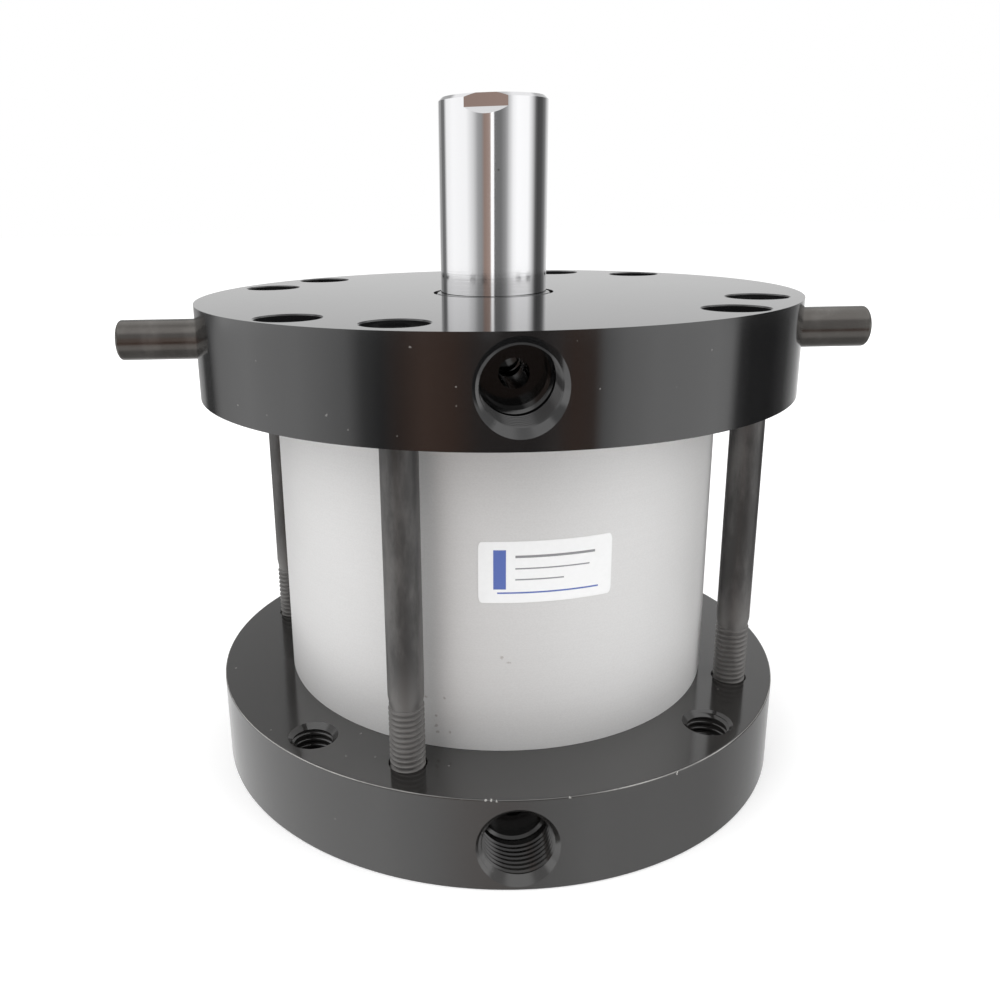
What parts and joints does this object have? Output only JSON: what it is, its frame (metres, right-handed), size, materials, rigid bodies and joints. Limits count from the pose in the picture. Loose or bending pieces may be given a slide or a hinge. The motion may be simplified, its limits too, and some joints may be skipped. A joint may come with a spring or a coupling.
{
  "type": "compact pneumatic cylinder",
  "caption": "Compact round pneumatic cylinder: a short tube clamped between two thick round plates by long screws, with a chromed rod, an air port in each plate and two side pins.",
  "frame": {"origin": "centre of the underside of the cap-end plate, on the rod's axis", "axes": "+Z along the rod, out of the cylinder; +X along the side pins; both air ports face -Y"},
  "size_m": [0.183, 0.142, 0.1586],
  "materials": {
    "gloss_black_plate": "polished black anodised",
    "satin_black_plate": "satin black anodised",
    "silver_tube": "satin clear anodised",
    "black_oxide_steel": "black oxide",
    "pin_steel": "dark satin",
    "rod_chrome": "polished hard chrome",
    "piston_aluminium": "turned",
    "plated_steel": "zinc plated",
    "bush_bronze": "turned bronze",
    "black_rubber": "matte",
    "polyurethane": "satin",
    "guide_plastic": "matte"
  },
  "bodies": {
    "cylinder_body": {"cap_end_plate": "satin_black_plate", "rod_end_plate": "gloss_black_plate", "barrel": "silver_tube", "tie_screw_1": "black_oxide_steel", "tie_screw_2": "black_oxide_steel", "tie_screw_3": "black_oxide_steel", "tie_screw_4": "black_oxide_steel", "side_pin_left": "pin_steel", "side_pin_right": "pin_steel", "barrel_seal_lower": "black_rubber", "barrel_seal_upper": "black_rubber", "bumper_lower": "polyurethane", "bumper_upper": "polyurethane", "rod_wiper": "polyurethane", "rod_seal": "polyurethane", "rod_bushing": "bush_bronze"},
    "piston_seals": {"wear_ring": "guide_plastic", "piston_seal_lower": "polyurethane", "piston_seal_upper": "polyurethane"},
    "rod_assembly": {"piston_rod": "rod_chrome", "piston": "piston_aluminium", "piston_bolt": "black_oxide_steel", "piston_washer": "plated_steel", "rod_static_seal": "black_rubber"}
  },
  "joints": [
    {"name": "rod_slide", "type": "slide", "parent": "cylinder_body", "child": "piston_seals", "axis": [0, 0, 1], "range_m": [-0.0381, 0]},
    {"name": "rod_turn", "type": "hinge", "parent": "piston_seals", "child": "rod_assembly", "pos_m": [0, 0, 0.0867], "axis": [0, 0, 1], "continuous": true}
  ]
}
